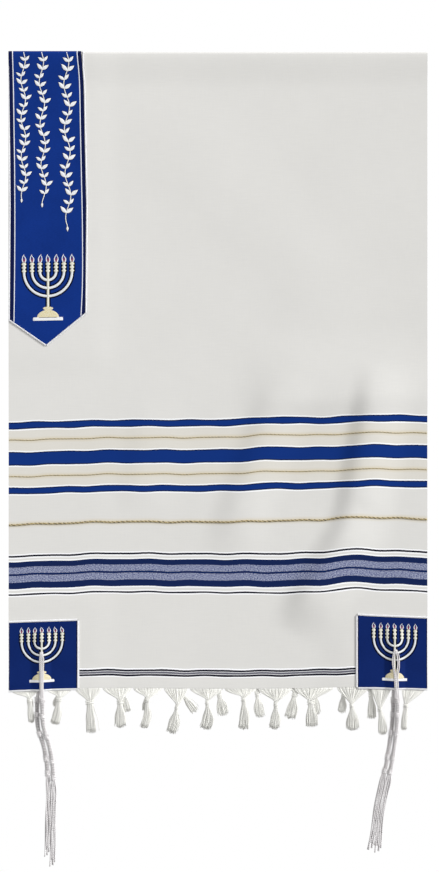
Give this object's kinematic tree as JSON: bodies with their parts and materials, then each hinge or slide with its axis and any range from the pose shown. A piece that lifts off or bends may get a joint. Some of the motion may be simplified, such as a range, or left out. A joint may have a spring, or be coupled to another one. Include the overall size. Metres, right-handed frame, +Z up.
{
  "type": "tallit prayer shawl, folded in half and laid flat",
  "caption": "Flat folded rectangular shawl with a pointed band along one edge, square corner patches, knotted hem fringes and long corner tassels.",
  "frame": {"origin": "middle of the whole outline in plan, on the surface that the folded shawl rests on", "axes": "+Y from the tassel tips to the fold, +X across the shawl to the edge away from the neckband, +Z up out of the near half"},
  "size_m": [0.5501, 1.071, 0.013],
  "materials": {
    "white_cloth": "matt, fine plain weave with dyed weft stripes and thin metallic threads",
    "royal_blue_satin": "satin with woven white and metallic ornament",
    "deep_blue_satin": "satin with metallic embroidery",
    "white_yarn": "matt loose twisted yarn",
    "tzitzit_yarn": "matt tightly twisted wool string"
  },
  "bodies": {
    "root": {"shawl_cloth": "white_cloth", "neckband": "royal_blue_satin", "corner_patch_front_left": "deep_blue_satin", "corner_patch_front_right": "deep_blue_satin", "corner_patch_back_left": "deep_blue_satin", "corner_patch_back_right": "deep_blue_satin", "fringe_front": "white_yarn", "fringe_back": "white_yarn", "tzitzit_front_left": "tzitzit_yarn", "tzitzit_front_right": "tzitzit_yarn", "tzitzit_back_left": "tzitzit_yarn", "tzitzit_back_right": "tzitzit_yarn"}
  },
  "joints": []
}
